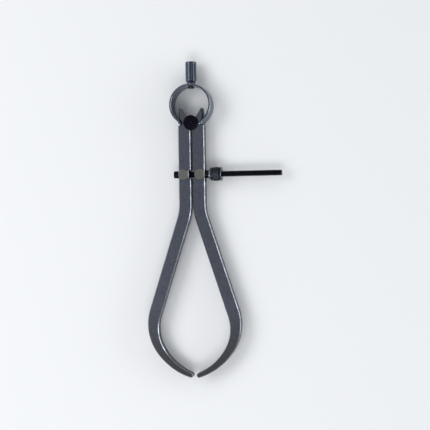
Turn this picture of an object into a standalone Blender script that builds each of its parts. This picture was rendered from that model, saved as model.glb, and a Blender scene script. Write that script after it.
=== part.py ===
# Spring caliper for outside measurement, 200 mm, lying flat on a table.
#
# The two legs swing about one roller. A C-shaped bow spring is seated in a notch behind each leg
# and presses the legs open, and a nut on a long screw holds them where they are set. The screw
# passes through two swivelling studs, one in each leg.
#
# Lengths are metres and angles are degrees. The pieces are placed from the roller's axis: +X runs
# along the screw, +Y towards the grip, +Z up to the face that carries the heads of the studs.

import math

import bpy
import bmesh
from mathutils import Matrix, Vector

# Clearances
RUNNING_GAP = 0.00025
SEAT_GAP = 0.0003
BORE_GAP = 0.0002

# Legs
REACH = 0.200
LEG_THICKNESS = 0.0078
LEG_WIDTH = 0.0098
LEG_GAP = 0.0014
BEND_DEPTH = 0.0705
BEND_RADIUS = 0.045
SPLAY = 17.9
BELLY_RADIUS = 0.0355
BELLY_HEADING = 33.3
TIP_HEADING = 69.4
TIP_WIDTH = 0.0038
TIP_GAP = 0.0030
EDGE_BREAK = 0.0006

# Swing of each leg outwards from where it lies
OPEN_ANGLE = 29.5

# Horns, the ends of the legs inside the bow
HORN_HEIGHT = 0.0116
HORN_SIDE = 0.0095
HORN_FACE_OFFSET = 0.0009
HORN_SPARE_ANGLE = 2.3
HORN_ROUNDING = 0.0008

# Roller that the legs swing about
ROLLER_CORE_RADIUS = 0.0035
ROLLER_FLANGE_RADIUS = 0.00595
ROLLER_FLANGE = 0.0012
ROLLER_CHAMFER = 0.0003

# Bow spring
BOW_RADIUS = 0.0158
BOW_CENTRE = 0.0141
BOW_STRIP = 0.0014
BOW_WIDTH = 0.016
BOW_END_ANGLE = 38.0
HOOK_RADIUS = 0.0025
HOOK_HEADING = 22.0
HOOK_LENGTH = 0.0016
BOW_EDGE_BREAK = 0.00015

# Grip on the bow, and the screw that holds it
GRIP_RADIUS = 0.00435
GRIP_LENGTH = 0.0178
GRIP_NECK_RADIUS = 0.0034
GRIP_NECK = 0.0014
GRIP_ROUNDING = 0.0008
GRIP_SCREW_RADIUS = 0.0014
GRIP_SCREW_DEPTH = 0.0075
GRIP_SCREW_HEAD_RADIUS = 0.0026
GRIP_SCREW_HEAD = 0.0012

# Studs that swivel in the legs
STUD_DEPTH = 0.0408
STUD_OFFSET = 0.0064
STUD_RADIUS = 0.0033
STUD_HEAD_RADIUS = 0.0041
STUD_HEAD = 0.0010
STUD_CHAMFER = 0.0003
LEG_RELIEF_DEPTH = 0.0016
LEG_RELIEF_HEIGHT = 0.0064
LEG_RELIEF_ROUNDING = 0.0005

# Adjusting screw, its collar and its nut
SCREW_RADIUS = 0.0024
SCREW_REACH = 0.0778
SCREW_CHAMFER = 0.0006
SCREW_HEAD_RADIUS = 0.0029
SCREW_HEAD = 0.0048
COLLAR_NOSE_RADIUS = 0.0031
COLLAR_FLANGE_RADIUS = 0.0042
COLLAR_FLANGE = 0.0010
NUT_RADIUS = 0.0055
NUT_LENGTH = 0.0087
NUT_RIM = 0.0011
NUT_GROOVE = 0.0005
NUT_CHAMFER = 0.0004

# Facets
ROUND_STEPS = 48
SMALL_ROUND_STEPS = 32
CORNER_STEPS = 4
CORE_STEPS = 14
BEND_STEPS = 10
BELLY_STEPS = 16
TIP_STEPS = 12
TIP_END_STEPS = 8
BOW_STEPS = 36

# Worked out from the sizes above
LEG_OFFSET = (LEG_GAP + LEG_WIDTH) / 2
LEG_OUTER = LEG_OFFSET + LEG_WIDTH / 2
HORN_LEAN = OPEN_ANGLE + HORN_SPARE_ANGLE
CORE_SEAT_RADIUS = ROLLER_CORE_RADIUS + RUNNING_GAP
STUD_HOLE_RADIUS = STUD_RADIUS + BORE_GAP
STUD_TOP = LEG_THICKNESS / 2 + RUNNING_GAP
SCREW_BORE_RADIUS = SCREW_RADIUS + BORE_GAP
BOW_TOP = BOW_CENTRE + BOW_RADIUS + BOW_STRIP / 2
# The collar and the screw's head bear on the studs; the collar's flange clears the leg when open.
STUD_BEARING = STUD_RADIUS + SEAT_GAP
COLLAR_FLANGE_SEAT = (
    (LEG_OUTER - STUD_OFFSET + BORE_GAP) / math.cos(math.radians(OPEN_ANGLE))
    + COLLAR_FLANGE_RADIUS * math.tan(math.radians(OPEN_ANGLE))
)
NUT_SEAT = COLLAR_FLANGE_SEAT + COLLAR_FLANGE + SEAT_GAP


def material(name, colour, roughness, metallic=1.0):
    """A plain finish: one colour, one roughness."""
    finish = bpy.data.materials.new(name)
    finish.use_nodes = True
    shader = finish.node_tree.nodes["Principled BSDF"]
    shader.inputs["Base Color"].default_value = (*colour, 1.0)
    shader.inputs["Roughness"].default_value = roughness
    shader.inputs["Metallic"].default_value = metallic
    return finish


def along(heading):
    """The direction of travel at a heading in degrees: 0 is straight down -Y, and it grows towards -X."""
    angle = math.radians(heading)
    return Vector((-math.sin(angle), -math.cos(angle)))


def beside(heading):
    """The direction square to along(heading), on the right leg's outer side."""
    angle = math.radians(heading)
    return Vector((math.cos(angle), -math.sin(angle)))


def arc_run(start, heading, radius, turn, steps):
    """Points and headings along an arc that turns towards -X by so many degrees, its start left out.
    A negative turn goes the other way."""
    side = math.copysign(1.0, turn)
    centre = start - beside(heading) * radius * side
    run = []
    for step in range(1, steps + 1):
        now = heading + turn * step / steps
        run.append((centre + beside(now) * radius * side, now))
    return run


def rounded(corners, steps=CORNER_STEPS):
    """A closed outline from (x, y, radius) corners, each corner rounded as far as its two sides allow."""
    outline = []
    for index, (x, y, radius) in enumerate(corners):
        here = Vector((x, y))
        back = Vector(corners[index - 1][:2]) - here
        ahead = Vector(corners[(index + 1) % len(corners)][:2]) - here
        half = back.angle(ahead) / 2
        if radius <= 0.0 or half > math.radians(89.0):
            outline.append(here)
            continue
        cut = min(radius / math.tan(half), 0.45 * back.length, 0.45 * ahead.length)
        centre = here + (back.normalized() + ahead.normalized()).normalized() * cut / math.cos(half)
        first = here + back.normalized() * cut - centre
        turn = first.angle_signed(here + ahead.normalized() * cut - centre)
        for step in range(steps + 1):
            outline.append(centre + Matrix.Rotation(-turn * step / steps, 2) @ first)
    return outline


def plate(name, outline, thickness, edge=0.0):
    """A flat piece in the XY plane from a closed outline, as thick as asked, with its edges broken."""
    curve = bpy.data.curves.new(name, "CURVE")
    curve.dimensions = "2D"
    curve.fill_mode = "BOTH"
    curve.extrude = thickness / 2 - edge
    curve.bevel_depth = edge
    curve.bevel_resolution = 0
    curve.offset = -edge
    curve.render_resolution_u = 0
    spline = curve.splines.new("POLY")
    spline.points.add(len(outline) - 1)
    for point, place in zip(spline.points, outline):
        point.co = (place[0], place[1], 0.0, 1.0)
    spline.use_cyclic_u = True
    return as_mesh(name, curve)


def as_mesh(name, curve):
    """The same shape as a mesh object with its caps welded on."""
    guide = bpy.data.objects.new(name + "_curve", curve)
    bpy.context.scene.collection.objects.link(guide)
    evaluated = guide.evaluated_get(bpy.context.evaluated_depsgraph_get())
    mesh = bpy.data.meshes.new_from_object(evaluated)
    bpy.data.objects.remove(guide)
    bm = bmesh.new()
    bm.from_mesh(mesh)
    bmesh.ops.remove_doubles(bm, verts=bm.verts, dist=1e-6)
    bmesh.ops.recalc_face_normals(bm, faces=bm.faces)
    bm.to_mesh(mesh)
    bm.free()
    mesh.name = name
    return bpy.data.objects.new(name, mesh)


def turned(name, profile, steps=ROUND_STEPS, bored=False):
    """A piece from the lathe: its (radius, height) profile, top to bottom, turned about Z."""
    last = len(profile) - 1
    edges = [(index, index + 1) for index in range(last)]
    if bored:
        edges.append((last, 0))
    mesh = bpy.data.meshes.new(name)
    mesh.from_pydata([(radius, 0.0, height) for radius, height in profile], edges, [])
    piece = bpy.data.objects.new(name, mesh)
    turn = piece.modifiers.new("Turn", "SCREW")
    turn.axis = "Z"
    turn.steps = steps
    turn.render_steps = steps
    turn.use_merge_vertices = True
    turn.merge_threshold = 1e-6
    turn.use_smooth_shade = True
    return piece


def chamfered(radius, top, bottom, chamfer):
    """The outer profile of a plain round bar from its top face to its bottom face."""
    return [
        (radius - chamfer, top),
        (radius, top - chamfer),
        (radius, bottom + chamfer),
        (radius - chamfer, bottom),
    ]


def round_cutter(name, radius, length, place, axis):
    """A round cutter centred on a place, with its length along X, Y or Z."""
    turn = {"X": (0.0, math.pi / 2, 0.0), "Y": (math.pi / 2, 0.0, 0.0), "Z": (0.0, 0.0, 0.0)}[axis]
    bpy.ops.mesh.primitive_cylinder_add(
        vertices=SMALL_ROUND_STEPS, radius=radius, depth=length, location=place, rotation=turn
    )
    cutter = bpy.context.object
    cutter.name = name
    for collection in list(cutter.users_collection):
        collection.objects.unlink(cutter)
    return cutter


class Workshop:
    """Keeps the pieces in one collection and the cutters in another, under one empty."""

    def __init__(self, name):
        self.pieces = bpy.data.collections.new(name)
        self.cutters = bpy.data.collections.new(name + "_cutters")
        bpy.context.scene.collection.children.link(self.pieces)
        bpy.context.scene.collection.children.link(self.cutters)
        self.frame = bpy.data.objects.new(name + "_frame", None)
        self.pieces.objects.link(self.frame)

    def add(self, piece, finish, place=(0.0, 0.0, 0.0), turn=(0.0, 0.0, 0.0)):
        piece.data.materials.clear()
        piece.data.materials.append(finish)
        piece.location = place
        piece.rotation_euler = turn
        piece.parent = self.frame
        self.pieces.objects.link(piece)
        return piece

    def cut(self, piece, cutter):
        cutter.parent = self.frame
        cutter.hide_render = True
        cutter.display_type = "WIRE"
        self.cutters.objects.link(cutter)
        cut = piece.modifiers.new(cutter.name, "BOOLEAN")
        cut.operation = "DIFFERENCE"
        cut.solver = "EXACT"
        cut.object = cutter

    def stand_on_floor(self):
        """Moves the frame so that the middle of the whole tool's underside is the world's origin."""
        graph = bpy.context.evaluated_depsgraph_get()
        graph.update()
        corners = []
        for piece in self.pieces.objects:
            if piece.type == "MESH":
                shape = piece.evaluated_get(graph)
                corners += [shape.matrix_world @ Vector(corner) for corner in shape.bound_box]
        low = [min(corner[axis] for corner in corners) for axis in range(3)]
        high = [max(corner[axis] for corner in corners) for axis in range(3)]
        self.frame.location = (-(low[0] + high[0]) / 2, -(low[1] + high[1]) / 2, -low[2])


def leg_run():
    """The middle line of the right leg from the bend to the tip, as (place, heading, width) stations.

    The straight below the bend and the last arc take the lengths that put the tip at its reach and
    at its gap from the other tip."""
    tangent = BEND_RADIUS * math.tan(math.radians(SPLAY) / 2)
    bend_start = Vector((LEG_OFFSET, -(BEND_DEPTH - tangent)))
    bend = arc_run(bend_start, 0.0, BEND_RADIUS, -SPLAY, BEND_STEPS)
    tip = Vector(((TIP_GAP + TIP_WIDTH) / 2, -REACH))
    unit_belly = arc_run(Vector((0.0, 0.0)), -SPLAY, BELLY_RADIUS, BELLY_HEADING + SPLAY, 1)[-1][0]
    unit_tip = arc_run(Vector((0.0, 0.0)), BELLY_HEADING, 1.0, TIP_HEADING - BELLY_HEADING, 1)[-1][0]
    # tip = end of bend + straight * slant + belly + radius * unit_tip, solved for straight and radius
    rest = tip - bend[-1][0] - unit_belly
    slant = along(-SPLAY)
    spread = slant.cross(unit_tip)
    straight = rest.cross(unit_tip) / spread
    tip_radius = slant.cross(rest) / spread
    belly_start = bend[-1][0] + slant * straight
    belly = arc_run(belly_start, -SPLAY, BELLY_RADIUS, BELLY_HEADING + SPLAY, BELLY_STEPS)
    last = arc_run(belly[-1][0], BELLY_HEADING, tip_radius, TIP_HEADING - BELLY_HEADING, TIP_STEPS)
    stations = [(bend_start, 0.0, LEG_WIDTH)]
    stations += [(place, heading, LEG_WIDTH) for place, heading in bend]
    stations.append((belly_start, -SPLAY, LEG_WIDTH))
    curved = belly + last
    lengths = [0.0]
    for before, after in zip([(belly_start, 0.0)] + curved, curved):
        lengths.append(lengths[-1] + (after[0] - before[0]).length)
    for (place, heading), run in zip(curved, lengths[1:]):
        stations.append((place, heading, LEG_WIDTH + (TIP_WIDTH - LEG_WIDTH) * run / lengths[-1]))
    return stations


def bow_run():
    """The middle line of the bow's right half, from the top to its end, as (place, heading) stations."""
    top = Vector((0.0, BOW_CENTRE + BOW_RADIUS))
    end_heading = 90.0 - BOW_END_ANGLE
    ring = arc_run(top, -90.0, BOW_RADIUS, 90.0 + end_heading, BOW_STEPS)
    hook = arc_run(ring[-1][0], end_heading, HOOK_RADIUS, HOOK_HEADING - end_heading, CORNER_STEPS)
    end = hook[-1][0] + along(HOOK_HEADING) * HOOK_LENGTH
    return [(top, -90.0)] + ring + hook + [(end, HOOK_HEADING)]


def leg_outline():
    """The right leg's outline from above, counterclockwise."""
    stations = leg_run()
    # Round the roller's core, from the inner edge to the face of the horn
    lean = math.radians(HORN_LEAN)
    across = Vector((math.cos(lean), -math.sin(lean))) * HORN_FACE_OFFSET
    up = Vector((math.sin(lean), math.cos(lean)))
    face_start = across + up * math.sqrt(CORE_SEAT_RADIUS ** 2 - HORN_FACE_OFFSET ** 2)
    face_end = across + up * (HORN_HEIGHT - across.y) / up.y
    core_low = -math.acos(LEG_GAP / 2 / CORE_SEAT_RADIUS)
    core_high = math.atan2(face_start.y, face_start.x)
    corners = []
    for step in range(CORE_STEPS + 1):
        angle = core_low + (core_high - core_low) * step / CORE_STEPS
        corners.append((CORE_SEAT_RADIUS * math.cos(angle), CORE_SEAT_RADIUS * math.sin(angle), 0.0))
    # Over the horn and down into the notch that takes the end of the bow
    bow_end, bow_heading = bow_run()[-1]
    down, out = along(bow_heading), beside(bow_heading)
    vertex = bow_end + down * SEAT_GAP - out * (BOW_STRIP / 2 + SEAT_GAP)
    notch_top = vertex + down * (HORN_SIDE - vertex.x) / down.x
    shoulder = vertex + out * (LEG_OUTER - vertex.x) / out.x
    corners += [
        (face_end.x, face_end.y, HORN_ROUNDING),
        (HORN_SIDE, HORN_HEIGHT, HORN_ROUNDING),
        (notch_top.x, notch_top.y, HORN_ROUNDING),
        (vertex.x, vertex.y, 0.0),
        (shoulder.x, shoulder.y, HORN_ROUNDING),
    ]
    # Down the outer edge, round the tip and up the inner edge
    for place, heading, width in stations:
        edge = place + beside(heading) * width / 2
        corners.append((edge.x, edge.y, 0.0))
    tip, heading, width = stations[-1]
    for step in range(1, TIP_END_STEPS):
        edge = tip + beside(heading + 180.0 * step / TIP_END_STEPS) * width / 2
        corners.append((edge.x, edge.y, 0.0))
    for place, heading, width in reversed(stations):
        edge = place - beside(heading) * width / 2
        corners.append((edge.x, edge.y, 0.0))
    # The relief beside the stud
    inner = LEG_GAP / 2
    low = -STUD_DEPTH - LEG_RELIEF_HEIGHT / 2
    high = -STUD_DEPTH + LEG_RELIEF_HEIGHT / 2
    corners += [
        (inner, low, 0.0),
        (inner + LEG_RELIEF_DEPTH, low, LEG_RELIEF_ROUNDING),
        (inner + LEG_RELIEF_DEPTH, high, LEG_RELIEF_ROUNDING),
        (inner, high, 0.0),
    ]
    return list(reversed(rounded(corners)))


def slot_outlines():
    """The two halves of the right leg's slot, seen from above about the stud's axis, each with the
    half height that it is cut to.

    The screw keeps its direction while the leg swings open, so the outer half flares towards the
    tip and the inner half towards the roller. The outer half also takes the nose of the collar."""
    slope = math.tan(math.radians(OPEN_ANGLE))
    widen = 1.0 / math.cos(math.radians(OPEN_ANGLE))
    overlap = STUD_RADIUS / 2
    nose = COLLAR_NOSE_RADIUS + BORE_GAP
    rod = SCREW_RADIUS + SEAT_GAP
    reach = LEG_WIDTH
    outer = [(-overlap, -nose), (reach, -reach * slope - nose * widen), (reach, nose), (-overlap, nose)]
    inner = [(overlap, -rod), (overlap, rod), (-reach, reach * slope + rod * widen), (-reach, -rod)]
    return (outer, nose), (inner, rod)


def mirrored(outline):
    return [(-place[0], place[1]) for place in reversed(outline)]


def add_legs(shop, finish):
    for side, name in ((1.0, "right_leg"), (-1.0, "left_leg")):
        outline = leg_outline() if side > 0 else mirrored(leg_outline())
        leg = shop.add(plate(name, outline, LEG_THICKNESS, EDGE_BREAK), finish)
        stud_place = (side * STUD_OFFSET, -STUD_DEPTH, 0.0)
        hole = round_cutter(name + "_stud_hole", STUD_HOLE_RADIUS, 2 * LEG_THICKNESS, stud_place, "Z")
        shop.cut(leg, hole)
        for half, (shape, half_height) in zip(("outer", "inner"), slot_outlines()):
            shape = shape if side > 0 else mirrored(shape)
            slot = plate(name + "_" + half + "_slot", shape, 2 * half_height)
            slot.location = stud_place
            shop.cut(leg, slot)


def add_roller(shop, finish):
    inside = LEG_THICKNESS / 2 + RUNNING_GAP
    outside = inside + ROLLER_FLANGE
    profile = [(0.0, outside)]
    profile += chamfered(ROLLER_FLANGE_RADIUS, outside, inside, ROLLER_CHAMFER)
    profile += [(ROLLER_CORE_RADIUS, inside), (ROLLER_CORE_RADIUS, -inside)]
    profile += chamfered(ROLLER_FLANGE_RADIUS, -inside, -outside, ROLLER_CHAMFER)
    profile.append((0.0, -outside))
    shop.add(turned("fulcrum_roller", profile), finish)


def add_bow(shop, finish):
    run = bow_run()
    outside = [place + beside(heading) * BOW_STRIP / 2 for place, heading in run]
    inside = [place - beside(heading) * BOW_STRIP / 2 for place, heading in run]
    right = outside + inside[:0:-1]
    left = [(-place.x, place.y) for place in inside] + [(-place.x, place.y) for place in outside[:0:-1]]
    bow = shop.add(plate("bow_spring", right + left, BOW_WIDTH, BOW_EDGE_BREAK), finish)
    hole_place = (0.0, BOW_CENTRE + BOW_RADIUS, 0.0)
    hole_radius = GRIP_SCREW_RADIUS + BORE_GAP
    shop.cut(bow, round_cutter("bow_hole", hole_radius, 4 * BOW_STRIP, hole_place, "Y"))


def add_grip(shop, finish, screw_finish):
    """The grip stands on the top of the bow, and its screw comes up from inside the bow."""
    bore = GRIP_SCREW_RADIUS + BORE_GAP
    bore_depth = GRIP_SCREW_DEPTH + SEAT_GAP
    shoulder = GRIP_NECK + GRIP_RADIUS - GRIP_NECK_RADIUS
    profile = [(0.0, GRIP_LENGTH)]
    for step in range(CORNER_STEPS + 1):
        angle = math.radians(90.0 - 90.0 * step / CORNER_STEPS)
        radius = GRIP_RADIUS - GRIP_ROUNDING + GRIP_ROUNDING * math.cos(angle)
        profile.append((radius, GRIP_LENGTH - GRIP_ROUNDING + GRIP_ROUNDING * math.sin(angle)))
    profile += [(GRIP_RADIUS, shoulder), (GRIP_NECK_RADIUS, GRIP_NECK), (GRIP_NECK_RADIUS, 0.0)]
    profile += [(bore, 0.0), (bore, bore_depth), (0.0, bore_depth)]
    upright = (-math.pi / 2, 0.0, 0.0)
    shop.add(turned("finger_grip", profile), finish, (0.0, BOW_TOP + SEAT_GAP, 0.0), upright)
    inside_radius = BOW_RADIUS - BOW_STRIP / 2
    sag = inside_radius - math.sqrt(inside_radius ** 2 - GRIP_SCREW_HEAD_RADIUS ** 2)
    seat = -(BOW_STRIP + SEAT_GAP + sag)
    screw = [(0.0, GRIP_SCREW_DEPTH), (GRIP_SCREW_RADIUS, GRIP_SCREW_DEPTH), (GRIP_SCREW_RADIUS, seat)]
    screw += chamfered(GRIP_SCREW_HEAD_RADIUS, seat, seat - GRIP_SCREW_HEAD, STUD_CHAMFER)
    screw.append((0.0, seat - GRIP_SCREW_HEAD))
    piece = turned("grip_screw", screw, SMALL_ROUND_STEPS)
    shop.add(piece, screw_finish, (0.0, BOW_TOP, 0.0), upright)


def add_studs(shop, finish):
    for side, name in ((1.0, "right_stud"), (-1.0, "left_stud")):
        profile = [(0.0, STUD_TOP + STUD_HEAD)]
        profile += chamfered(STUD_HEAD_RADIUS, STUD_TOP + STUD_HEAD, STUD_TOP, STUD_CHAMFER)
        profile += [(STUD_RADIUS, STUD_TOP), (STUD_RADIUS, -STUD_TOP + STUD_CHAMFER)]
        profile += [(STUD_RADIUS - STUD_CHAMFER, -STUD_TOP), (0.0, -STUD_TOP)]
        place = (side * STUD_OFFSET, -STUD_DEPTH, 0.0)
        stud = shop.add(turned(name, profile), finish, place)
        bore = round_cutter(name + "_bore", SCREW_BORE_RADIUS, 4 * STUD_HEAD_RADIUS, place, "X")
        shop.cut(stud, bore)


def add_screw_and_nut(shop, screw_finish, collar_finish, nut_finish):
    lying = (0.0, math.pi / 2, 0.0)
    left = (-STUD_OFFSET, -STUD_DEPTH, 0.0)
    right = (STUD_OFFSET, -STUD_DEPTH, 0.0)
    screw = [(0.0, SCREW_REACH), (SCREW_RADIUS - SCREW_CHAMFER, SCREW_REACH)]
    screw += [(SCREW_RADIUS, SCREW_REACH - SCREW_CHAMFER), (SCREW_RADIUS, -STUD_BEARING)]
    head_end = -STUD_BEARING - SCREW_HEAD
    screw += chamfered(SCREW_HEAD_RADIUS, -STUD_BEARING, head_end, STUD_CHAMFER)
    screw.append((0.0, head_end))
    shop.add(turned("adjusting_screw", screw, SMALL_ROUND_STEPS), screw_finish, left, lying)
    flange_top = COLLAR_FLANGE_SEAT + COLLAR_FLANGE
    collar = [
        (COLLAR_FLANGE_RADIUS, flange_top),
        (COLLAR_FLANGE_RADIUS, COLLAR_FLANGE_SEAT),
        (COLLAR_NOSE_RADIUS, COLLAR_FLANGE_SEAT),
        (COLLAR_NOSE_RADIUS, STUD_BEARING),
        (SCREW_BORE_RADIUS, STUD_BEARING),
        (SCREW_BORE_RADIUS, flange_top),
    ]
    piece = turned("nut_collar", collar, SMALL_ROUND_STEPS, bored=True)
    shop.add(piece, collar_finish, right, lying)
    rims = [
        (NUT_LENGTH - NUT_RIM, NUT_LENGTH - NUT_RIM - 2 * NUT_GROOVE),
        (NUT_RIM + 2 * NUT_GROOVE, NUT_RIM),
    ]
    nut = [(NUT_RADIUS - NUT_CHAMFER, NUT_LENGTH), (NUT_RADIUS, NUT_LENGTH - NUT_CHAMFER)]
    for high, low in rims:
        floor = NUT_RADIUS - NUT_GROOVE
        middle = (high + low) / 2
        nut += [(NUT_RADIUS, high), (floor, middle + NUT_GROOVE / 2)]
        nut += [(floor, middle - NUT_GROOVE / 2), (NUT_RADIUS, low)]
    nut += [(NUT_RADIUS, NUT_CHAMFER), (NUT_RADIUS - NUT_CHAMFER, 0.0)]
    nut += [(SCREW_BORE_RADIUS, 0.0), (SCREW_BORE_RADIUS, NUT_LENGTH)]
    nut_place = (STUD_OFFSET + NUT_SEAT, -STUD_DEPTH, 0.0)
    shop.add(turned("adjusting_nut", nut, bored=True), nut_finish, nut_place, lying)


def main():
    for old in list(bpy.data.objects):
        bpy.data.objects.remove(old)
    shop = Workshop("spring_caliper")
    leg_steel = material("leg_steel", (0.090, 0.098, 0.112), 0.38)
    spring_steel = material("spring_steel", (0.22, 0.25, 0.28), 0.30)
    roller_steel = material("roller_steel", (0.016, 0.015, 0.020), 0.42)
    stud_steel = material("stud_steel", (0.150, 0.145, 0.130), 0.45)
    grip_steel = material("grip_steel", (0.11, 0.13, 0.15), 0.35)
    screw_black = material("screw_black", (0.012, 0.014, 0.020), 0.40)
    nut_black = material("nut_black", (0.020, 0.022, 0.028), 0.36)
    add_legs(shop, leg_steel)
    add_roller(shop, roller_steel)
    add_bow(shop, spring_steel)
    add_grip(shop, grip_steel, stud_steel)
    add_studs(shop, stud_steel)
    add_screw_and_nut(shop, screw_black, roller_steel, nut_black)
    shop.stand_on_floor()


main()
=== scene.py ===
# %% [markdown]
# # A spring caliper for outside measurement
#
# Two bowed legs swing about one roller. A C-shaped spring presses them open, and a nut on a long
# screw holds them where they are set. The tool lies on a pale table and is seen from above.
#
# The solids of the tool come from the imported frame. This lesson gives them the shapes that a file,
# a lathe and a knurling wheel leave, and then the finishes of their steels. Lengths are metres.
# +X runs along the screw, +Y from the tips to the grip and +Z up from the table.

# %% Tools and the frame
import math

import bmesh
import bpy
from mathutils import Matrix, Vector


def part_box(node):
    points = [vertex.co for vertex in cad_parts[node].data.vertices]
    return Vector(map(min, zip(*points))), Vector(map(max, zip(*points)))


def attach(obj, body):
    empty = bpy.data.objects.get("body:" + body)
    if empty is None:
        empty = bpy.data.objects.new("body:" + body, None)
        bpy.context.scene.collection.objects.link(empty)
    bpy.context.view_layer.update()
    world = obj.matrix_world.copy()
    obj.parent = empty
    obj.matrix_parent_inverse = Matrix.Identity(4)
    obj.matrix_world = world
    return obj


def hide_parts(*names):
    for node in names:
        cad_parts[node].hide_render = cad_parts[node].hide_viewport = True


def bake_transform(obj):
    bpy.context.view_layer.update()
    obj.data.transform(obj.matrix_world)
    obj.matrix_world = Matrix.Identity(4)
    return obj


MM = 0.001
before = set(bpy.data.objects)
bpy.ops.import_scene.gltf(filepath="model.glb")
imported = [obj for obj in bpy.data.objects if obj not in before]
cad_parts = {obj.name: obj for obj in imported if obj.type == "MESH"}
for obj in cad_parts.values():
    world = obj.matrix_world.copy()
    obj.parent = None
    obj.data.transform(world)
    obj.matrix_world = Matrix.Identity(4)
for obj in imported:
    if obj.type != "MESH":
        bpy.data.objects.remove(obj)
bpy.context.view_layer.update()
print("solids:", ", ".join(sorted(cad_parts)))


# %% [markdown]
# The places of the pieces are read from their solids, so nothing here has to be fitted by hand.
# Every turned piece is symmetric about its own axis, and the middle of its box is on that axis.

# %% Where the pieces are
def middle(node):
    """The middle of a solid's box."""
    low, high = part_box(node)
    return (low + high) / 2


roller_middle = middle("fulcrum_roller")
screw_middle = middle("adjusting_screw")
nut_middle = middle("adjusting_nut")
grip_middle = middle("finger_grip")
print(f"roller at {roller_middle / MM}, screw at {screw_middle / MM} mm")

# %% [markdown]
# ## The table, the light and the camera
#
# The table is a large pale sheet. It could be a white void, but a sheet catches the soft shadow
# that tells the eye how high the bow and the legs lie.

# %% Table
TABLE_SIZE = 14.0
TABLE_GAP = 0.02 * MM


def as_object(name, bm):
    """Turns a bmesh into an object of the scene, and frees the bmesh."""
    mesh = bpy.data.meshes.new(name)
    bm.to_mesh(mesh)
    bm.free()
    made = bpy.data.objects.new(name, mesh)
    bpy.context.scene.collection.objects.link(made)
    return made


bm = bmesh.new()
bmesh.ops.create_grid(bm, x_segments=1, y_segments=1, size=TABLE_SIZE / 2)
bmesh.ops.translate(bm, verts=bm.verts, vec=(0.0, 0.0, -TABLE_GAP))
table = as_object("table", bm)

table_paint = bpy.data.materials.new("pale_table")
table_paint.use_nodes = True
table_shader = table_paint.node_tree.nodes["Principled BSDF"]
table_shader.inputs["Base Color"].default_value = (0.86, 0.865, 0.875, 1.0)
table_shader.inputs["Roughness"].default_value = 0.9
table_shader.inputs["Specular IOR Level"].default_value = 0.2
table.data.materials.append(table_paint)
print("table laid,", TABLE_SIZE, "m wide")

# %% [markdown]
# Steel shows what is round it more than its own colour. An even white sky would make the legs look
# like grey paint, so the sky is only part of the light, and four softboxes give the rest. A turned
# piece reflects only what stands square to its axis, so a small lamp often leaves it dull. These
# softboxes are long: those at the sides draw a line down the grip and down the legs' edges, and
# the one over the tips draws a line along the nut and the screw. A smaller one lights the bow's
# far side.

# %% Sky and lamps
SKY_STRENGTH = 0.44

sky = bpy.data.worlds.new("studio")
bpy.context.scene.world = sky
sky.use_nodes = True
sky_shader = sky.node_tree.nodes["Background"]
sky_shader.inputs["Color"].default_value = (0.93, 0.97, 1.0, 1.0)
sky_shader.inputs["Strength"].default_value = SKY_STRENGTH


def soft_lamp(name, place, length, height, power, colour=(1.0, 1.0, 1.0)):
    """A softbox with its long side level, which shines from its place at the middle of the tool."""
    light = bpy.data.lights.new(name, "AREA")
    light.shape = "RECTANGLE"
    light.size = length
    light.size_y = height
    light.energy = power
    light.color = colour
    lamp = bpy.data.objects.new(name, light)
    lamp.location = place
    lamp.rotation_euler = Vector(place).to_track_quat("Z", "Y").to_euler()
    bpy.context.scene.collection.objects.link(lamp)


soft_lamp("lamp_on_the_left", (-0.90, 0.20, 0.95), 1.2, 0.70, 7.6)
soft_lamp("lamp_on_the_right", (1.10, 0.10, 0.34), 1.1, 0.36, 3.8, (0.95, 0.98, 1.0))
soft_lamp("lamp_behind_the_grip", (0.1, 1.0, 0.7), 0.6, 0.3, 1.0)
soft_lamp("lamp_over_the_tips", (-0.10, -0.72, 1.0), 1.2, 0.45, 5.0)
print("sky and 4 lamps")

# %% [markdown]
# The photograph was taken from almost straight above, a little from the right: the right-hand
# sides of the legs show and the left-hand ones don't. A long lens keeps the screw straight.

# %% Camera
LENS = 85.0
CAMERA_DISTANCE = 0.804
CAMERA_LEAN = 10.0
AIM = Vector((0.65 * MM, 3.3 * MM, 8.0 * MM))
UPWARDS = Vector((0.0163, 1.0, 0.0))

lean = math.radians(CAMERA_LEAN)
backwards = Vector((math.sin(lean), 0.0, math.cos(lean)))
rightwards = UPWARDS.cross(backwards).normalized()
upwards = backwards.cross(rightwards)
camera_data = bpy.data.cameras.new("camera")
camera_data.lens = LENS
camera_data.clip_start = 0.01
camera = bpy.data.objects.new("camera", camera_data)
turn = Matrix((rightwards, upwards, backwards)).transposed().to_4x4()
camera.matrix_world = Matrix.Translation(AIM + backwards * CAMERA_DISTANCE) @ turn
bpy.context.scene.collection.objects.link(camera)
bpy.context.scene.camera = camera
bpy.context.scene.view_settings.view_transform = "Standard"
print(f"camera {CAMERA_DISTANCE} m away, {CAMERA_LEAN} degrees from the right")


# %% [markdown]
# ## Steel
#
# Every piece is steel, but each one left the works in its own finish: ground and tumbled legs, a
# bright rolled strip, blackened screw and nut, turned studs. One recipe serves them all. It starts
# from the steel's colour and lays three things on it: a grain that the tool left, a soft mottling
# from oil and hands, and a brighter colour on the broken edges, which is partly bare metal from
# wear and partly a painted highlight. The legs also get the fine specks that tumbling leaves.

# %% Small helpers for shader graphs
def node(finish, kind, **settings):
    """Adds a shader node, with its settings as attributes."""
    made = finish.node_tree.nodes.new(kind)
    for name, value in settings.items():
        setattr(made, name, value)
    return made


def wire(finish, start, end):
    """Joins an output socket to an input socket, or writes a plain value into the input."""
    if isinstance(start, bpy.types.NodeSocket):
        finish.node_tree.links.new(start, end)
    else:
        end.default_value = start


def calculated(finish, operation, *values):
    """The result of a Math node on sockets or plain numbers."""
    made = node(finish, "ShaderNodeMath", operation=operation)
    for value, socket in zip(values, made.inputs):
        wire(finish, value, socket)
    return made.outputs[0]


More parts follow.
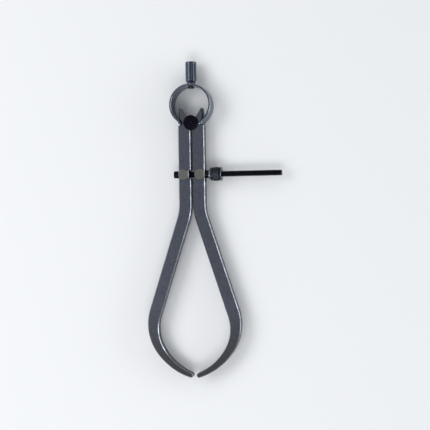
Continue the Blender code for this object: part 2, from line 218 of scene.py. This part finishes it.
def spread(finish, value, low, high, to_low, to_high):
    """Stretches a value from one range to another, held at the ends."""
    made = node(finish, "ShaderNodeMapRange", clamp=True)
    for number, socket in zip((value, low, high, to_low, to_high), made.inputs):
        wire(finish, number, socket)
    return made.outputs[0]


def noise(finish, place, scale, detail=3.0, roughness=0.5):
    """Noise on a place. Most of its values lie between 0.3 and 0.7."""
    made = node(finish, "ShaderNodeTexNoise")
    wire(finish, place, made.inputs["Vector"])
    made.inputs["Scale"].default_value = scale
    made.inputs["Detail"].default_value = detail
    made.inputs["Roughness"].default_value = roughness
    return made.outputs["Fac"]


def mixed(finish, share, one, other, blend="MIX"):
    """One colour, with a share of the other laid over it."""
    made = node(finish, "ShaderNodeMix", data_type="RGBA", blend_type=blend)
    wire(finish, share, made.inputs["Factor"])
    wire(finish, (*one, 1.0) if isinstance(one, tuple) else one, made.inputs["A"])
    wire(finish, (*other, 1.0) if isinstance(other, tuple) else other, made.inputs["B"])
    return made.outputs["Result"]


# %% [markdown]
# The grain is noise squeezed across one direction. Where that direction is straight, Object
# coordinates do. On a turned piece the tool goes round, so the pattern reads only the distance
# from the axis and the place along it. On the legs it follows the leg, so it reads a UV map.

# %% Where a grain lies
def placed(finish, centre, stretch=(1.0, 1.0, 1.0)):
    """Object coordinates measured from a centre and stretched, so that noise turns into streaks."""
    place = node(finish, "ShaderNodeTexCoord").outputs["Object"]
    moved = node(finish, "ShaderNodeVectorMath", operation="SUBTRACT")
    wire(finish, place, moved.inputs[0])
    moved.inputs[1].default_value = centre
    scaled = node(finish, "ShaderNodeVectorMath", operation="MULTIPLY")
    wire(finish, moved.outputs[0], scaled.inputs[0])
    scaled.inputs[1].default_value = stretch
    return scaled.outputs[0]


def turned_place(finish, centre, axis):
    """Distance from an axis and place along it, for the rings that a lathe leaves."""
    across = tuple(0.0 if name == axis else 1.0 for name in "XYZ")
    along = tuple(1.0 if name == axis else 0.0 for name in "XYZ")
    radius = node(finish, "ShaderNodeVectorMath", operation="LENGTH")
    wire(finish, placed(finish, centre, across), radius.inputs[0])
    height = node(finish, "ShaderNodeVectorMath", operation="DOT_PRODUCT")
    wire(finish, placed(finish, centre), height.inputs[0])
    height.inputs[1].default_value = along
    both = node(finish, "ShaderNodeCombineXYZ")
    wire(finish, radius.outputs["Value"], both.inputs["X"])
    wire(finish, height.outputs["Value"], both.inputs["Y"])
    return both.outputs[0]


# %% [markdown]
# The brighter edges, partly bare metal from wear and partly a painted highlight, could be painted
# by hand or found from the mesh's sharpness. Here they come from the way a surface faces: the flats
# of a leg face straight up and its sides straight out, and only the broken edge between them faces
# half way. Turned pieces get the same rule about their own axis.

# %% The steel recipe
HALF_WAY = 0.7
SPECK_SCALE = 900.0
DARK_GRAIN = 0.74


def edges_worn_and_highlit(finish, axis):
    """1 where a surface leans half way between an axis and square to it, 0 on flats and sides."""
    facing = node(finish, "ShaderNodeVectorMath", operation="DOT_PRODUCT")
    wire(finish, node(finish, "ShaderNodeTexCoord").outputs["Normal"], facing.inputs[0])
    facing.inputs[1].default_value = axis
    tilt = calculated(finish, "ABSOLUTE", facing.outputs["Value"])
    off_half = calculated(finish, "ABSOLUTE", calculated(finish, "SUBTRACT", tilt, HALF_WAY))
    return spread(finish, off_half, 0.05, 0.26, 1.0, 0.0)


def steel(name, colour, edge_wear_and_highlight_colour, stain, roughness, grain, grain_scale, grain_depth, axis=(0, 0, 1),
          mottle=90.0, speckle=0.0):
    """A steel finish. grain is a function that gives the place that the grain is drawn on.

    axis is what edges_worn_and_highlit measures from, mottle the scale of the clouds that stains follow, and
    speckle the share of stain in the darkest specks.
    """
    finish = bpy.data.materials.new(name)
    finish.use_nodes = True
    shader = finish.node_tree.nodes["Principled BSDF"]
    shader.inputs["Metallic"].default_value = 1.0
    streaks = noise(finish, grain(finish), grain_scale, 6.0, 0.65)
    clouds = noise(finish, placed(finish, (0.0, 0.0, 0.0)), mottle, 4.0, 0.6)
    specks = noise(finish, placed(finish, (0.0, 0.0, 0.0)), SPECK_SCALE, 2.0)
    dark = tuple(DARK_GRAIN * part for part in colour)
    skin = mixed(finish, spread(finish, streaks, 0.3, 0.7, 0.0, 1.0), dark, colour)
    skin = mixed(finish, spread(finish, clouds, 0.52, 0.72, 0.0, 0.75), skin, stain)
    skin = mixed(finish, spread(finish, specks, 0.42, 0.62, 0.0, speckle), skin, stain)
    # The broken edges get a brighter colour: partly bare metal from wear, partly a painted
    # highlight.
    edge_wear_and_highlight_share = edges_worn_and_highlit(finish, axis)
    edge_wear_and_highlight_share = calculated(finish, "MULTIPLY", edge_wear_and_highlight_share, spread(finish, clouds, 0.35, 0.6, 1.0, 0.55))
    edge_wear_and_highlight_share = calculated(finish, "MULTIPLY", edge_wear_and_highlight_share, spread(finish, specks, 0.35, 0.55, 0.6, 1.0))
    wire(finish, mixed(finish, edge_wear_and_highlight_share, skin, edge_wear_and_highlight_colour), shader.inputs["Base Color"])
    dull = spread(finish, streaks, 0.3, 0.7, roughness - 0.06, roughness + 0.07)
    dull = calculated(finish, "ADD", dull, spread(finish, clouds, 0.4, 0.7, -0.02, 0.08))
    dull = calculated(finish, "SUBTRACT", dull, calculated(finish, "MULTIPLY", edge_wear_and_highlight_share, 0.10))
    wire(finish, dull, shader.inputs["Roughness"])
    rough_skin = calculated(finish, "ADD", calculated(finish, "MULTIPLY", streaks, 0.8),
                        calculated(finish, "MULTIPLY", specks, 0.2))
    bump = node(finish, "ShaderNodeBump")
    bump.inputs["Strength"].default_value = 0.6
    bump.inputs["Distance"].default_value = grain_depth
    wire(finish, rough_skin, bump.inputs["Height"])
    wire(finish, bump.outputs["Normal"], shader.inputs["Normal"])
    return finish


# %% [markdown]
# Fingers and neighbours rub a turned piece where it reaches furthest from its axis: on the lands of
# a knurl and on a flange. A brighter colour is laid there, partly bare metal from that wear and
# partly a painted sheen, and it goes by the distance from the axis.

# %% Brighter metal and painted sheen further out
def wear_and_sheen_beyond(finish, centre, axis, near, far, colour):
    """Lays a brighter colour over a finish, partly bare metal and partly a painted sheen, from none
    near an axis to all of it far from it.
    """
    shader = finish.node_tree.nodes["Principled BSDF"]
    skin = shader.inputs["Base Color"].links[0].from_socket
    place = node(finish, "ShaderNodeSeparateXYZ")
    wire(finish, turned_place(finish, tuple(centre), axis), place.inputs[0])
    share = spread(finish, place.outputs["X"], near, far, 0.0, 1.0)
    wire(finish, mixed(finish, share, skin, colour), shader.inputs["Base Color"])


# %% [markdown]
# ## Dressing a solid
#
# A solid from the frame has the right shape, but its edges are as sharp as numbers. A real edge
# has a radius, however small, and that radius is what catches the light. So each solid is copied,
# its loose triangles are welded, flat patches become one face, and its sharp edges are rounded
# with a narrow bevel. The copy then stands for the solid, which stays in the simulation.

# %% Copy, weld and round the edges
WELD_DISTANCE = 0.002 * MM
FLAT_ANGLE = 0.3


def welded(name):
    """A bmesh copy of a solid's mesh, with its triangles joined and its flat patches made one."""
    bm = bmesh.new()
    bm.from_mesh(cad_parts[name].data)
    bmesh.ops.remove_doubles(bm, verts=bm.verts, dist=WELD_DISTANCE)
    bmesh.ops.dissolve_limit(bm, angle_limit=math.radians(FLAT_ANGLE), verts=bm.verts,
                             edges=bm.edges)
    bmesh.ops.recalc_face_normals(bm, faces=bm.faces)
    return bm


def round_edges(bm, radius, sharpness=28.0, segments=2):
    """Rounds every edge where two faces meet at more than so many degrees, and counts them."""
    sharp = [edge for edge in bm.edges if edge.calc_face_angle(0.0) > math.radians(sharpness)]
    bmesh.ops.bevel(bm, geom=sharp, offset=radius, offset_type="OFFSET", affect="EDGES",
                    segments=segments, profile=0.5, material=-1, clamp_overlap=True)
    return len(sharp)


def finished(name, bm, finish, body, slot, *nodes, smooth=40.0):
    """Makes the piece an object that rides on a body and stands for its solids."""
    piece = as_object(name, bm)
    mesh = piece.data
    mesh.shade_smooth()
    mesh.set_sharp_from_angle(angle=math.radians(smooth))
    mesh.materials.append(finish)
    piece.modifiers.new("Flats stay flat", "WEIGHTED_NORMAL").keep_sharp = True
    if body:
        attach(piece, body)
    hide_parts(*nodes)
    print(f"{name}: {len(mesh.polygons)} faces, {piece.dimensions.x / MM:.1f} x "
          f"{piece.dimensions.y / MM:.1f} x {piece.dimensions.z / MM:.1f} mm")
    return piece


# %% [markdown]
# ## The legs
#
# Each leg is forged flat steel, ground on its faces and along its curve. The grinding marks follow
# the leg, so each leg gets a UV map: u is the distance along its middle line and v the distance
# across it. The middle line is measured from the solid itself, level by level. A UV map is only
# exact at the corners of faces, and the flat of a leg is one long face, so it is cut at each level.

# %% The middle line of a leg
LEVEL_STEP = 3.0 * MM
LEVEL_SNAP = 0.01 * MM


def middle_line(bm):
    """[y, x, heading, distance] of the middle of a leg at levels from its tip to its horn."""
    lowest = min(vert.co.y for vert in bm.verts)
    highest = max(vert.co.y for vert in bm.verts)
    levels = int((highest - lowest) / LEVEL_STEP)
    line = []
    for count in range(levels + 1):
        level = lowest + (highest - lowest) * (count + 0.5) / (levels + 1)
        crossings = []
        for edge in bm.edges:
            one, other = edge.verts[0].co, edge.verts[1].co
            if (one.y - level) * (other.y - level) < 0.0:
                crossings.append(one.lerp(other, (level - one.y) / (other.y - one.y)).x)
        line.append([level, (min(crossings) + max(crossings)) / 2, 0.0, 0.0])
    for before, after in zip(line, line[1:]):
        after[2] = math.atan2(after[1] - before[1], after[0] - before[0])
        after[3] = before[3] + math.hypot(after[1] - before[1], after[0] - before[0])
    line[0][2] = line[1][2]
    return line


def cut_along(bm, place, direction, snap=0.0001 * MM, **cleared):
    """Cuts every face along a plane, and may clear what lies on one side of it."""
    bmesh.ops.bisect_plane(bm, geom=bm.verts[:] + bm.edges[:] + bm.faces[:], dist=snap,
                           plane_co=place, plane_no=direction, **cleared)


def lay_grain(bm):
    """Cuts the faces at the middle line's levels, and writes the UV map that the grain follows."""
    line = middle_line(bm)
    for level in line:
        cut_along(bm, (0.0, level[0], 0.0), (0.0, 1.0, 0.0), LEVEL_SNAP)
    grain = bm.loops.layers.uv.new("grain")
    for face in bm.faces:
        for loop in face.loops:
            place = loop.vert.co
            after = next((item for item in line if item[0] > place.y), line[-1])
            before = line[max(line.index(after) - 1, 0)]
            share = (place.y - before[0]) / max(after[0] - before[0], 1e-9)
            centre = before[1] + (after[1] - before[1]) * share
            heading = before[2] + (after[2] - before[2]) * min(share, 1.0)
            run = before[3] + (after[3] - before[3]) * share
            across = (place.x - centre) * math.cos(heading)
            loop[grain].uv = (run + (place.x - centre) * math.sin(heading), across + place.z)
    return line[-1][3]


# %% Leg steel
GRAIN_STRETCH = 14.0


def along_the_leg(finish):
    """The grain's place on a leg: slow along it and quick across it."""
    chart = node(finish, "ShaderNodeUVMap", uv_map="grain")
    stretched = node(finish, "ShaderNodeVectorMath", operation="MULTIPLY")
    wire(finish, chart.outputs["UV"], stretched.inputs[0])
    stretched.inputs[1].default_value = (1.0, GRAIN_STRETCH, 1.0)
    return stretched.outputs[0]


leg_steel = steel("ground_leg_steel", (0.121, 0.130, 0.165), (0.40, 0.43, 0.49),
                  (0.069, 0.073, 0.085), 0.34, along_the_leg, 260.0, 0.02 * MM, mottle=160.0,
                  speckle=0.40)

# %% [markdown]
# The ends of the legs are made darker and less blue. The tint lies under the brighter edges, so it
# goes into the recipe's last mix as the colour of the skin. It multiplies the skin and doesn't cover
# it, and so the grain stays as clear there.

# %% Darker tips
TINT_STARTS = 55.0 * MM
TINT_FULL = 10.0 * MM
TINT_SHARE = 0.8
TIP_DARKENING = (0.53, 0.44, 0.33)

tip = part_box("left_leg")[0].y
edge_wear_and_highlight_mix = leg_steel.node_tree.nodes["Principled BSDF"].inputs["Base Color"].links[0].from_node
skin = edge_wear_and_highlight_mix.inputs["A"].links[0].from_socket
along = node(leg_steel, "ShaderNodeSeparateXYZ")
wire(leg_steel, placed(leg_steel, (0.0, 0.0, 0.0)), along.inputs[0])
share = spread(leg_steel, along.outputs["Y"], tip + TINT_FULL, tip + TINT_STARTS, TINT_SHARE, 0.0)
tinted = mixed(leg_steel, share, skin, TIP_DARKENING, blend="MULTIPLY")
wire(leg_steel, tinted, edge_wear_and_highlight_mix.inputs["A"])
print(f"the last {TINT_STARTS / MM:.0f} mm of each leg are tinted")

# %% Legs
EDGE_RADIUS = 0.10 * MM

for side in ("right", "left"):
    bm = welded(side + "_leg")
    rounded_edges = round_edges(bm, EDGE_RADIUS)
    run = lay_grain(bm)
    finished(side + "_leg_ground", bm, leg_steel, side + "_leg_body", "leg_steel", side + "_leg")
    print(f"  {rounded_edges} edges rounded, {run / MM:.0f} mm along the leg")

# %% [markdown]
# ## The roller
#
# The legs swing about a spool. Its flange is turned and blackened, and the lathe leaves fine rings
# round its middle. A plain disc would do from far away, but the flange of a real one has a small
# countersink at its middle, where the lathe's centre held it.

# %% Roller
TURNED_ROUNDING = 0.08 * MM
COUNTERSINK_RADIUS = 0.9 * MM
COUNTERSINK_DEPTH = 0.5 * MM


def rings_about(centre, axis):
    """The grain of a turned piece, as a function for the steel recipe."""
    return lambda finish: turned_place(finish, tuple(centre), axis)


def countersink(bm, centre, height, radius, depth):
    """Cuts a small cone into the flat top of a turned piece."""
    flats = [face for face in bm.faces if abs(face.calc_center_median().z - height) < 0.01 * MM]
    top = max(flats, key=lambda face: face.calc_area())
    reach = min((vert.co.xy - centre.xy).length for vert in top.verts)
    bmesh.ops.inset_individual(bm, faces=[top], thickness=reach - radius, use_even_offset=True)
    bmesh.ops.poke(bm, faces=[top], offset=-depth, center_mode="MEAN", use_relative_offset=False)


roller_steel = steel("blackened_roller_steel", (0.009, 0.008, 0.014), (0.08, 0.08, 0.09),
                     (0.014, 0.012, 0.016), 0.40, rings_about(roller_middle, "Z"), 4200.0,
                     0.02 * MM)
bm = welded("fulcrum_roller")
for height in (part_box("fulcrum_roller")[0].z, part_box("fulcrum_roller")[1].z):
    countersink(bm, roller_middle, height, COUNTERSINK_RADIUS, COUNTERSINK_DEPTH)
bmesh.ops.recalc_face_normals(bm, faces=bm.faces)
round_edges(bm, TURNED_ROUNDING)
finished("roller_turned", bm, roller_steel, "frame", "roller_steel", "fulcrum_roller")

# %% [markdown]
# ## The bow spring
#
# The bow is one strip of spring steel, rolled with a smooth skin and bent to a C. When the legs
# open, its ends move with them and the strip bends. One piece can bend between two bodies only,
# so the strip is cut at its top, under the grip, into two halves.


def round_the_strip(finish):
    """Fine rolling marks, which run along the strip and so lie square to the tool's height."""
    return placed(finish, (0.0, 0.0, 0.0), (0.15, 0.15, 6.0))


def close_ends(bm):
    """Fills every open rim with one flat face."""
    rim = [edge for edge in bm.edges if edge.is_boundary]
    bmesh.ops.holes_fill(bm, edges=rim, sides=0)


spring_steel = steel("rolled_spring_steel", (0.140, 0.165, 0.220), (0.44, 0.48, 0.56),
                     (0.10, 0.12, 0.16), 0.24, round_the_strip, 500.0, 0.015 * MM)
for side, sign in (("right", 1.0), ("left", -1.0)):
    bm = welded("bow_spring")
    cut_along(bm, roller_middle, (sign, 0.0, 0.0), clear_inner=True)
    close_ends(bm)
    bmesh.ops.recalc_face_normals(bm, faces=bm.faces)
    half = finished(side + "_half_of_bow", bm, spring_steel, None, "spring_steel", "bow_spring")
    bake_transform(half)

# %% [markdown]
# ## The studs
#
# The screw passes through two headed pins that swivel in the legs. Their heads are turned flat and
# left without polish, so their rings are coarser and their colour is a warm grey.

# %% Studs
for side, body in (("left", "screw_body"), ("right", "collar_body")):
    stud_middle = middle(side + "_stud")
    stud_steel = steel(side + "_stud_steel", (0.178, 0.175, 0.167), (0.50, 0.50, 0.49),
                       (0.092, 0.087, 0.076), 0.40, rings_about(stud_middle, "Z"), 3200.0,
                       0.03 * MM, mottle=420.0)
    bm = welded(side + "_stud")
    round_edges(bm, TURNED_ROUNDING)
    finished(side + "_stud_turned", bm, stud_steel, body, "stud_steel", side + "_stud")

# %% [markdown]
# ## The grip
#
# The grip is a bar turned on the lathe, with a narrow neck, a sloping shoulder and a rounded end,
# and straight grooves keep it from slipping between two fingers. Grooves could be a bump pattern,
# but then the outline stays smooth. Here the bar is spun with six steps to a tooth, and every sixth
# line of corners is pushed in. That gives narrow grooves between wide polished lands, and the lands
# shine like the plain bar. The first and last row of the band stay out, so each groove runs out in
# a slope.

# %% A knurled bar
def lathe(profile, steps, start, axis, across, rise=0.0):
    """Spins a profile of (radius, place along the axis) once round the axis.

    Where there is a rise, the profile moves that far along the axis meanwhile.
    """
    bm = bmesh.new()
    corners = [bm.verts.new(start + across * radius + axis * along) for radius, along in profile]
    edges = [bm.edges.new(pair) for pair in zip(corners, corners[1:])]
    bmesh.ops.spin(bm, geom=corners + edges, cent=start, axis=axis, angle=2.0 * math.pi,
                   steps=steps, dvec=axis * rise / steps, use_merge=not rise)
    bmesh.ops.remove_doubles(bm, verts=bm.verts, dist=0.001 * MM)
    bmesh.ops.recalc_face_normals(bm, faces=bm.faces)
    return bm


def knurl(bm, start, axis, across, teeth, steps, low, high, least_radius, depth):
    """Pushes in one line of corners for each tooth of a band, and counts the corners."""
    square = axis.cross(across)
    pushed = 0
    for vert in bm.verts:
        along = (vert.co - start).dot(axis)
        out = vert.co - start - axis * along
        if low < along < high and out.length > least_radius:
            turn = math.atan2(out.dot(square), out.dot(across)) / (2.0 * math.pi)
            if round(turn * teeth * steps) % steps == 0:
                vert.co -= out.normalized() * depth
                pushed += 1
    return pushed


# %% Grip
GRIP_TEETH = 24
STEPS_IN_GRIP_TOOTH = 6
GRIP_NECK = 1.4 * MM
GRIP_NECK_RADIUS = 3.4 * MM
GRIP_ROUNDING = 0.8 * MM
ROUNDING_STEPS = 4
GRIP_BREAK = 0.2 * MM
BAND_MARGIN = 0.9 * MM
ROW_MARGIN = 0.1 * MM
KNURL_DEPTH = 0.15 * MM
KNURL_RUN_OUT = 0.35 * MM
LAND_EDGE = 0.10 * MM
LAND_TOP = 0.02 * MM

x_axis, y_axis = Vector((1.0, 0.0, 0.0)), Vector((0.0, 1.0, 0.0))
grip_low, grip_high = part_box("finger_grip")
grip_start = Vector((grip_middle.x, grip_low.y, grip_middle.z))
grip_length = grip_high.y - grip_low.y
grip_radius = (grip_high.x - grip_low.x) / 2
shoulder = GRIP_NECK + grip_radius - GRIP_NECK_RADIUS
knurl_low = shoulder + BAND_MARGIN
knurl_high = grip_length - GRIP_ROUNDING - BAND_MARGIN
profile = [(0.0, 0.0), (GRIP_NECK_RADIUS - GRIP_BREAK, 0.0), (GRIP_NECK_RADIUS, GRIP_BREAK),
           (GRIP_NECK_RADIUS, GRIP_NECK), (grip_radius - GRIP_BREAK, shoulder - GRIP_BREAK),
           (grip_radius, shoulder + GRIP_BREAK), (grip_radius, knurl_low),
           (grip_radius, knurl_low + KNURL_RUN_OUT), (grip_radius, knurl_high - KNURL_RUN_OUT),
           (grip_radius, knurl_high)]
for step in range(ROUNDING_STEPS + 1):
    angle = math.radians(90.0 * step / ROUNDING_STEPS)
    profile.append((grip_radius - GRIP_ROUNDING + GRIP_ROUNDING * math.cos(angle),
                    grip_length - GRIP_ROUNDING + GRIP_ROUNDING * math.sin(angle)))
profile.append((0.0, grip_length))
bm = lathe(profile, STEPS_IN_GRIP_TOOTH * GRIP_TEETH, grip_start, y_axis, x_axis)
pushed = knurl(bm, grip_start, y_axis, x_axis, GRIP_TEETH, STEPS_IN_GRIP_TOOTH,
               knurl_low + ROW_MARGIN, knurl_high - ROW_MARGIN, GRIP_NECK_RADIUS, KNURL_DEPTH)
grip_steel = steel("grip_steel", (0.045, 0.056, 0.076), (0.42, 0.45, 0.50), (0.034, 0.042, 0.056),
                   0.16, rings_about(grip_middle, "Y"), 3000.0, 0.01 * MM, axis=(0, 1, 0))
# The lands get a brighter colour than the rest of the bar: partly bare metal from wear, partly a
# painted sheen.
wear_and_sheen_beyond(grip_steel, grip_middle, "Y", grip_radius - LAND_EDGE, grip_radius - LAND_TOP,
              (0.082, 0.098, 0.128))
finished("grip_knurled", bm, grip_steel, "frame", "grip_steel", "finger_grip", smooth=25.0)
print(f"  {pushed} corners pushed in for {GRIP_TEETH} teeth")

# %% [markdown]
# The grip is held by a small screw that comes up from inside the bow. Its head can be seen from
# above, and it has a slot for the screwdriver. A slot that runs out at both sides of a round head
# is quickest with a Boolean: a thin block is taken away from the head, and then deleted.

# %% Screw inside the bow
SLOT_WIDTH = 0.8 * MM
SLOT_DEPTH = 0.6 * MM
SLOT_LENGTH = 10.0 * MM
SLOT_ROUNDING = 0.05 * MM


def without_block(bm, centre, size):
    """What a mesh keeps when a block of some size is taken away from it at a place."""
    block_bm = bmesh.new()
    bmesh.ops.create_cube(block_bm, size=1.0)
    bmesh.ops.scale(block_bm, verts=block_bm.verts, vec=size)
    bmesh.ops.translate(block_bm, verts=block_bm.verts, vec=centre)
    block, plain = as_object("block", block_bm), as_object("plain_screw", bm)
    plain.modifiers.new("Slot", "BOOLEAN").object = block
    kept = bmesh.new()
    kept.from_object(plain, bpy.context.evaluated_depsgraph_get())
    for helper in (block, plain):
        mesh = helper.data
        bpy.data.objects.remove(helper)
        bpy.data.meshes.remove(mesh)
    return kept


head_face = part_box("grip_screw")[0].y
head_middle = Vector((grip_middle.x, head_face, grip_middle.z))
bm = without_block(welded("grip_screw"), head_middle, (SLOT_WIDTH, 2 * SLOT_DEPTH, SLOT_LENGTH))
bmesh.ops.remove_doubles(bm, verts=bm.verts, dist=WELD_DISTANCE)
round_edges(bm, SLOT_ROUNDING)
screw_head_steel = steel("grip_screw_steel", (0.115, 0.115, 0.110), (0.36, 0.36, 0.35),
                         (0.07, 0.07, 0.065), 0.36, rings_about(grip_middle, "Y"), 3000.0,
                         0.02 * MM, axis=(0, 1, 0))
finished("grip_screw_slotted", bm, screw_head_steel, "frame", "stud_steel", "grip_screw")

# %% [markdown]
# ## The adjusting screw
#
# The thread is what makes this piece, so it is real geometry and not a bump. A saw-toothed line is
# spun once round the axis while it moves one pitch along it, and its end then meets its start.
# The long helix is cut off square at both ends, and the free end gets the chamfer that lets the
# nut start. The thread's radius and the place where the plain head begins are read from the solid:
# the head is what reaches further out than the bar does beyond its middle.

# %% Thread
PITCH = 0.8 * MM
THREAD_DEPTH = 0.42 * MM
CREST = 0.1 * MM
THREAD_STEPS = 28
THREAD_WELD = 0.005 * MM
END_CHAMFER = 0.6 * MM

screw_low, screw_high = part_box("adjusting_screw")
head_radius = (screw_high.z - screw_low.z) / 2
axis_start = Vector((0.0, screw_middle.y, screw_middle.z))
outs = [(place.co.x, (place.co.yz - axis_start.yz).length)
        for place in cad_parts["adjusting_screw"].data.vertices]
thread_radius = max(out for place, out in outs if place > screw_middle.x)
root_radius = thread_radius - THREAD_DEPTH
head_end = max(place for place, out in outs if out > thread_radius + 0.1 * MM)


def saw_line(low, high):
    """The tooth line of a thread between two places on the X axis."""
    line = []
    place = low
    while place < high:
        line += [(root_radius, place), (root_radius, place + CREST),
                 (thread_radius, place + PITCH / 2), (thread_radius, place + PITCH / 2 + CREST)]
        place += PITCH
    return line


teeth = saw_line(head_end - 2 * PITCH, screw_high.x + PITCH)
bm = lathe(teeth, THREAD_STEPS, axis_start, x_axis, y_axis, rise=PITCH)
for place, direction in ((head_end, -1.0), (screw_high.x, 1.0)):
    cut_along(bm, (place, 0.0, 0.0), (direction, 0.0, 0.0), clear_outer=True)
    bmesh.ops.remove_doubles(bm, verts=bm.verts, dist=THREAD_WELD)
    close_ends(bm)
for vert in bm.verts:
    out = vert.co - Vector((vert.co.x, screw_middle.y, screw_middle.z))
    room = thread_radius - END_CHAMFER + max(screw_high.x - vert.co.x, 0.0)
    if out.length > room:
        vert.co -= out.normalized() * (out.length - room)
bmesh.ops.recalc_face_normals(bm, faces=bm.faces)
print(f"thread: {(screw_high.x - head_end) / PITCH:.0f} turns, {len(bm.faces)} faces")

# %% [markdown]
# The left end of the screw is a plain head that bears on the left stud. It is turned on the same
# bar, so its faces join the thread's mesh.

# %% Head of the screw and its finish
HEAD_STEPS = 32
HEAD_CHAMFER = 0.3 * MM
HEAD_ROUNDING = 0.06 * MM

head_profile = [(0.0, head_end), (head_radius, head_end),
                (head_radius, screw_low.x + HEAD_CHAMFER),
                (head_radius - HEAD_CHAMFER, screw_low.x), (0.0, screw_low.x)]
head = lathe(head_profile, HEAD_STEPS, axis_start, x_axis, y_axis)
round_edges(head, HEAD_ROUNDING)
head_mesh = bpy.data.meshes.new("screw_head")
head.to_mesh(head_mesh)
head.free()
bm.from_mesh(head_mesh)
bpy.data.meshes.remove(head_mesh)
screw_black = steel("blackened_screw_steel", (0.008, 0.011, 0.020), (0.08, 0.09, 0.11),
                    (0.012, 0.014, 0.020), 0.34, rings_about(axis_start, "X"), 2600.0, 0.02 * MM,
                    axis=(1, 0, 0))
finished("screw_threaded", bm, screw_black, "screw_body", "screw_black", "adjusting_screw",
         smooth=25.0)

# %% [markdown]
# The collar sits between the right stud and the nut. Its tube is dark, and its flange, the only part
# that reaches so far out, gets a much brighter colour: a painted highlight on the flange's rim.

# %% Collar
FLANGE_SHEEN_STARTS = 0.8 * MM
FLANGE_SHEEN_FULL = 0.5 * MM

collar_middle = middle("nut_collar")
collar_low, collar_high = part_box("nut_collar")
flange_radius = (collar_high.z - collar_low.z) / 2
collar_steel = steel("collar_steel", (0.016, 0.019, 0.027), (0.14, 0.15, 0.17),
                     (0.020, 0.021, 0.025), 0.34, rings_about(collar_middle, "X"), 3000.0,
                     0.02 * MM, axis=(1, 0, 0))
# The flange's brighter colour is a painted highlight.
wear_and_sheen_beyond(collar_steel, collar_middle, "X", flange_radius - FLANGE_SHEEN_STARTS,
              flange_radius - FLANGE_SHEEN_FULL, (0.26, 0.29, 0.33))
bm = welded("nut_collar")
round_edges(bm, TURNED_ROUNDING)
finished("collar_turned", bm, collar_steel, "collar_body", "collar_steel", "nut_collar")

# %% [markdown]
# ## The nut
#
# The nut is rolled between finger and thumb, so its middle is knurled between two plain rims, with
# a groove beside each rim where the knurling wheel stops. Its knurl is finer than the grip's
# grooves: four steps to a tooth make the lands as narrow as the grooves.

# %% Nut
NUT_TEETH = 36
STEPS_IN_NUT_TOOTH = 4
NUT_RIM = 1.1 * MM
NUT_GROOVE = 0.5 * MM
NUT_CHAMFER = 0.4 * MM
NUT_ROUNDING = 0.15 * MM
BORE_GAP = 0.2 * MM
BORE_CHAMFER = 0.35 * MM

nut_low, nut_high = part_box("adjusting_nut")
nut_length = nut_high.x - nut_low.x
nut_radius = (nut_high.z - nut_low.z) / 2
nut_bore = thread_radius + BORE_GAP
nut_start = Vector((nut_low.x, nut_middle.y, nut_middle.z))
groove_floor = nut_radius - NUT_GROOVE
knurl_low = NUT_RIM + 2 * NUT_GROOVE
half = [(nut_bore, nut_length / 2), (nut_bore, BORE_CHAMFER), (nut_bore + BORE_CHAMFER, 0.0),
        (nut_radius - NUT_CHAMFER, 0.0), (nut_radius - NUT_ROUNDING, NUT_CHAMFER - NUT_ROUNDING),
        (nut_radius, NUT_CHAMFER), (nut_radius, NUT_RIM - NUT_ROUNDING),
        (nut_radius - NUT_ROUNDING, NUT_RIM), (groove_floor, NUT_RIM + NUT_GROOVE / 2),
        (groove_floor, NUT_RIM + 1.5 * NUT_GROOVE), (nut_radius, knurl_low),
        (nut_radius, knurl_low + KNURL_RUN_OUT)]
profile = half + [(radius, nut_length - place) for radius, place in reversed(half)]
bm = lathe(profile, STEPS_IN_NUT_TOOTH * NUT_TEETH, nut_start, x_axis, y_axis)
pushed = knurl(bm, nut_start, x_axis, y_axis, NUT_TEETH, STEPS_IN_NUT_TOOTH,
               knurl_low + ROW_MARGIN, nut_length - knurl_low - ROW_MARGIN, groove_floor,
               KNURL_DEPTH)
nut_black = steel("blackened_nut_steel", (0.020, 0.023, 0.030), (0.20, 0.21, 0.24),
                  (0.016, 0.018, 0.023), 0.18, rings_about(nut_middle, "X"), 2600.0, 0.01 * MM,
                  axis=(1, 0, 0))
# The lands get a brighter colour than the rest of the nut: partly bare metal from wear, partly a
# painted sheen.
wear_and_sheen_beyond(nut_black, nut_middle, "X", nut_radius - LAND_EDGE, nut_radius - LAND_TOP,
              (0.052, 0.059, 0.073))
finished("nut_knurled", bm, nut_black, "nut_body", "nut_black", "adjusting_nut", smooth=25.0)
print(f"  {pushed} corners pushed in for {NUT_TEETH} teeth")
